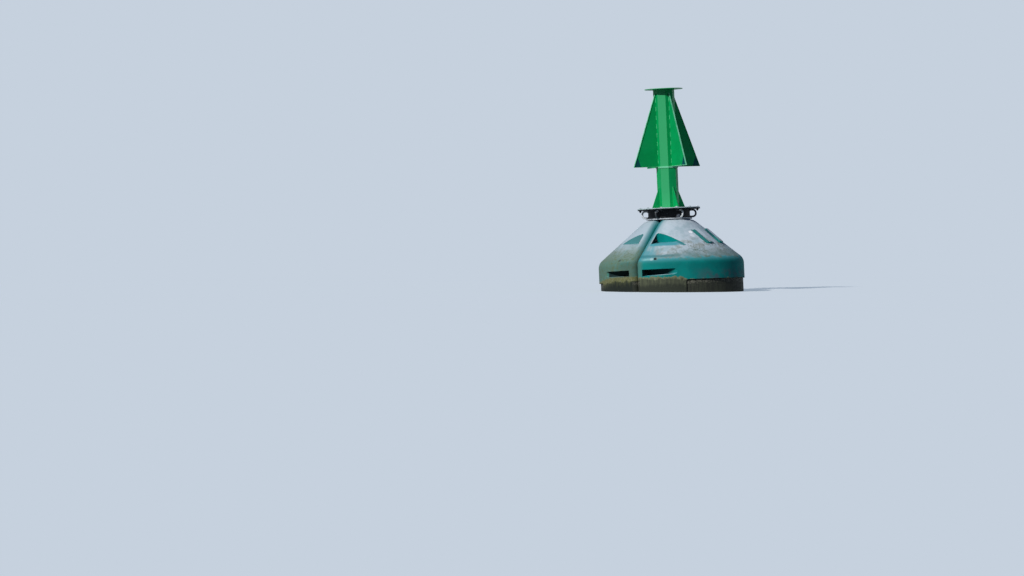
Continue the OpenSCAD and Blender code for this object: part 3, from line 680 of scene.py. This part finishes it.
print("fasteners and plugs made")

# Welds: beads of fused steel under the paint, with the ripples that each weld pool leaves
weldLook = {
    "bead": 0.006, "stitch": 0.0055, "ripple": 0.012, "perRipple": 4, "swell": 0.10,
    "off": 0.002,  # how far a bead's middle stands off the plates that it joins
    "stitchLong": 0.075, "stitchStep": 0.150, "fromFoot": 0.06, "fromTop": 0.05,
    "mastAcross": 0.340, "mastFlats": 8, "mastPoints": 480, "drumPoints": 720,
    "fins": 4, "finTurn": -30.0, "finSide": 0.003,
    "gussetSide": 0.006, "gussetReach": 0.322, "gussetHigh": 0.360}


def bead(path, radius, up, closed=False, sides=6):
    # Tube whose radius swells at each ripple: radius (1 + swell sin(2 pi length / ripple))
    length = np.concatenate([[0], np.cumsum(np.linalg.norm(np.diff(path, axis=0), axis=1))])
    swollen = radius * (1 + weldLook["swell"] * np.sin(2 * math.pi * length / weldLook["ripple"]))
    return tubeAlong(path, np.array(up, float), swollen, sides, closed)


def straight(start, end):
    # Points from start to end, so many to each ripple
    start, end = np.array(start, float), np.array(end, float)
    perRipple = weldLook["perRipple"]
    count = max(perRipple, int(np.linalg.norm(end - start) / weldLook["ripple"] * perRipple))
    return start + (end - start) * np.linspace(0, 1, count)[:, None]


def roundPath(radius, height, count, flats=0):
    # Circle, or with flats a regular outline: its radius over the cosine of the angle from a flat's middle
    turn = np.linspace(0, 2 * math.pi, count, endpoint=False)
    if flats:
        flat = 2 * math.pi / flats
        offFlat = (turn - math.radians(weldLook["finTurn"]) + flat / 2) % flat - flat / 2
        radius = radius / np.cos(offFlat)
    return np.stack([radius * np.cos(turn), radius * np.sin(turn), np.full(count, height)], axis=-1)


finTurns = [aboutAxis(math.radians(weldLook["finTurn"]) + 2 * math.pi * i / weldLook["fins"])
            for i in range(weldLook["fins"])]
off, beadR, mastR = weldLook["off"], weldLook["bead"], weldLook["mastAcross"] / 2
finLo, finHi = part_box("fin_1")
mastBeads = []
for z in (footTop + off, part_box("mast_tube")[1].z - off):
    roundMast = roundPath(mastR + off, z, weldLook["mastPoints"], weldLook["mastFlats"])
    mastBeads.append(bead(roundMast, beadR, (0, 0, 1), True))
stitches = []
for spin in finTurns:
    for side in (-1, 1):
        y = side * (weldLook["gussetSide"] + off)
        foot = straight((mastR, y, footTop + off), (weldLook["gussetReach"], y, footTop + off))
        rise = straight((mastR + off, y, footTop), (mastR + off, y, footTop + weldLook["gussetHigh"]))
        mastBeads.append(moved(bead(foot, beadR, (0, 0, 1)), spin))
        mastBeads.append(moved(bead(rise, beadR, (1, 0, 0)), spin))
        y = side * (weldLook["finSide"] + off)
        lowest, highest = finLo.z + weldLook["fromFoot"], finHi.z - weldLook["fromTop"]
        for low in np.arange(lowest, highest, weldLook["stitchStep"]):
            run = straight((mastR + off, y, low), (mastR + off, y, low + weldLook["stitchLong"]))
            stitches.append(moved(bead(run, weldLook["stitch"], (1, 0, 0)), spin))
addPiece("mast_welds", joined(mastBeads), finishes["mast_green"], 60)
addPiece("fin_stitch_welds", joined(stitches), finishes["stitch"], 60)

eyeWelds = {
    "count": 6, "turn": -30.0, "drumR": 0.360, "barR": 0.016, "heights": (1.267, 1.383), "bead": 0.004,
    "drumOff": 0.003, "ringPoints": 40}
drumLo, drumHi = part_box("hub_drum")
hubBeads = []
for z in (drumLo.z + eyeWelds["drumOff"], drumHi.z - eyeWelds["drumOff"]):
    roundDrum = roundPath(eyeWelds["drumR"] + eyeWelds["drumOff"], z, weldLook["drumPoints"])
    hubBeads.append(bead(roundDrum, beadR, (0, 0, 1), True))
ring = bead(roundPath(eyeWelds["barR"] + off, 0, eyeWelds["ringPoints"]), eyeWelds["bead"], (0, 0, 1), True)
for i in range(eyeWelds["count"]):
    spin = aboutAxis(math.radians(eyeWelds["turn"]) + 2 * math.pi * i / eyeWelds["count"])
    for z in eyeWelds["heights"]:
        hubBeads.append(moved(ring, spin @ facing((eyeWelds["drumR"] + off / 2, 0, z), (1, 0, 0))))
addPiece("hub_welds", joined(hubBeads), finishes["hub_black"], 60)
print("welds made")

# Film corners: stuck on both faces of each fin, in the corner at its tip. Lean is how far the fin's edge goes
# in for each metre that it rises.
filmLook = {"tip": (0.640, 2.1465), "long": 0.125, "high": 0.165, "lean": 0.379, "thick": 0.0007}
tip = np.array(filmLook["tip"])
edgeTop = tip + filmLook["high"] * np.array((-filmLook["lean"], 1))
corners = np.array([tip, edgeTop, tip - (filmLook["long"], 0)])
filmFaces = [np.array([(0, 1, 2), (5, 4, 3)]), np.array([(0, 3, 4, 1), (1, 4, 5, 2), (2, 5, 3, 0)])]
films = []
for spin in finTurns:
    for side in (-1, 1):
        layers = [side * weldLook["finSide"] + lift for lift in (-filmLook["thick"], filmLook["thick"])]
        film = np.concatenate([np.insert(corners, 1, y, axis=1) for y in layers])
        films.append(moved((film, filmFaces), spin))
addPiece("film_corners", joined(films), finishes["film"], 20)
print("film corners made")

# Light: a low sun from the front left and an even sky
lightLook = {
    "sunStrength": 3.0, "sunSoftness": 2.5, "sunAcross": -35.0, "sunHigh": 33.0,
    "sky": "#93B4EA", "skyStrength": 0.22, "backdrop": "#C6D1DE"}

# Camera: far off and low, with the buoy right of the middle and leaning to the left and away
shot = {
    "imageWide": 1024, "lensPx": 5814, "sensor": 36.0, "distance": 100.0, "eyeHigh": 1.734, "clipEnd": 500,
    "heading": 1.581, "pitch": 0.9638, "turn": 29.6, "leanLeft": 0.0448, "leanBack": -0.03}

turn = math.radians(shot["turn"])
across = Vector((math.cos(turn), math.sin(turn), 0))
away = Vector((-math.sin(turn), math.cos(turn), 0))
floorUp = (shot["leanLeft"] * across + shot["leanBack"] * away + Vector((0, 0, 1))).normalized()
ahead = (away - away.dot(floorUp) * floorUp).normalized()
right = ahead.cross(floorUp)
heading, pitch = math.radians(shot["heading"]), math.radians(shot["pitch"])
camRight = math.cos(heading) * right + math.sin(heading) * ahead
level = math.cos(heading) * ahead - math.sin(heading) * right
sight = math.cos(pitch) * level - math.sin(pitch) * floorUp
camUp = camRight.cross(sight)
eye = -shot["distance"] * ahead + shot["eyeHigh"] * floorUp

camData = bpy.data.cameras.new("camera")
camData.sensor_width = shot["sensor"]
camData.lens = shot["sensor"] * shot["lensPx"] / shot["imageWide"]
camData.clip_end = shot["clipEnd"]
camera = bpy.data.objects.new("camera", camData)
bpy.context.scene.collection.objects.link(camera)
camera.matrix_world = Matrix((
    (camRight.x, camUp.x, -sight.x, eye.x),
    (camRight.y, camUp.y, -sight.y, eye.y),
    (camRight.z, camUp.z, -sight.z, eye.z),
    (0, 0, 0, 1)))
bpy.context.scene.camera = camera

sunAcross, sunHigh = math.radians(lightLook["sunAcross"]), math.radians(lightLook["sunHigh"])
levelToSun = math.sin(sunAcross) * right - math.cos(sunAcross) * ahead
toSun = math.cos(sunHigh) * levelToSun + math.sin(sunHigh) * floorUp
sunData = bpy.data.lights.new("sun", "SUN")
sunData.energy = lightLook["sunStrength"]
sunData.angle = math.radians(lightLook["sunSoftness"])
sun = bpy.data.objects.new("sun", sunData)
bpy.context.scene.collection.objects.link(sun)
sun.rotation_mode = "QUATERNION"
sun.rotation_quaternion = toSun.to_track_quat("Z", "Y")


def shownRays(tree):
    # 1 for rays from the camera and for those that gloss or glass sends on, 0 for the light on the object
    rays = addNode(tree, "LightPath").node.outputs
    sentOn = addNode(tree, "Math", {0: rays["Is Glossy Ray"], 1: rays["Is Transmission Ray"]},
                     operation="MAXIMUM")
    return addNode(tree, "Math", {0: rays["Is Camera Ray"], 1: sentOn}, operation="MAXIMUM")


world = bpy.data.worlds.new("sky")
bpy.context.scene.world = world
world.use_nodes = True
skyTree = world.node_tree
skyTree.nodes.clear()
skyLight = addNode(skyTree, "Background", {"Color": lightLook["sky"], "Strength": lightLook["skyStrength"]})
skySeen = addNode(skyTree, "Background", {"Color": lightLook["backdrop"]})
skyMix = addNode(skyTree, "MixShader", {0: shownRays(skyTree), 1: skyLight, 2: skySeen})
addNode(skyTree, "OutputWorld", {"Surface": skyMix})

# Floor: a pale matt sheet at the waterline. Near the buoy it takes its shadow, and farther off it is the
# backdrop's colour.
floorLook = {
    "radius": 400.0, "corners": 96, "fadeFrom": 4.0, "fadeTo": 14.0, "paleness": 0.50, "bounce": 0.20}


def floorSheet(tree):
    # The glow is what the backdrop has over the matt share that sun and sky light, so the two meet unseen
    place = addNode(tree, "TexCoord", out="Object")
    far = addNode(tree, "VectorMath", {0: place}, out="Value", operation="LENGTH")
    seen = shownRays(tree)
    pale, dim = (np.array([share] * 3) for share in (floorLook["paleness"], floorLook["bounce"]))
    fromSky = np.array(linear(lightLook["sky"])[:3]) * lightLook["skyStrength"]
    fromSun = lightLook["sunStrength"] / math.pi * math.sin(math.radians(lightLook["sunHigh"]))
    glowColour = np.array(linear(lightLook["backdrop"])[:3]) - pale * (fromSun + fromSky)
    tint = addNode(tree, "Mix", {0: seen, 6: (*dim, 1.0), 7: (*pale, 1.0)}, out=2, data_type="RGBA")
    matt = addNode(tree, "BsdfDiffuse", {"Color": tint})
    glow = addNode(tree, "Emission", {"Color": (*glowColour, 1.0), "Strength": seen})
    near = addNode(tree, "AddShader", {0: matt, 1: glow})
    dimmed = addNode(tree, "MapRange", {"Value": seen, "To Min": floorLook["bounce"]})
    plain = addNode(tree, "Emission", {"Color": lightLook["backdrop"], "Strength": dimmed})
    fade = mask(tree, {"far": far}, far=(floorLook["fadeFrom"], floorLook["fadeTo"]))
    return addNode(tree, "MixShader", {0: fade, 1: near, 2: plain})


turnRound = np.linspace(0, 2 * math.pi, floorLook["corners"], endpoint=False)[:, None]
rimPoints = floorLook["radius"] * (
    np.cos(turnRound) * np.array(right) + np.sin(turnRound) * np.array(ahead))
floorMesh = bpy.data.meshes.new("floor")
floorMesh.from_pydata(rimPoints.tolist(), [], [list(range(len(rimPoints)))])
floorMesh.materials.append(makeMaterial("paleSheet", floorSheet))
floor = bpy.data.objects.new("floor", floorMesh)
bpy.context.scene.collection.objects.link(floor)

bpy.context.scene.view_settings.view_transform = "Standard"
print("light, camera and floor made")
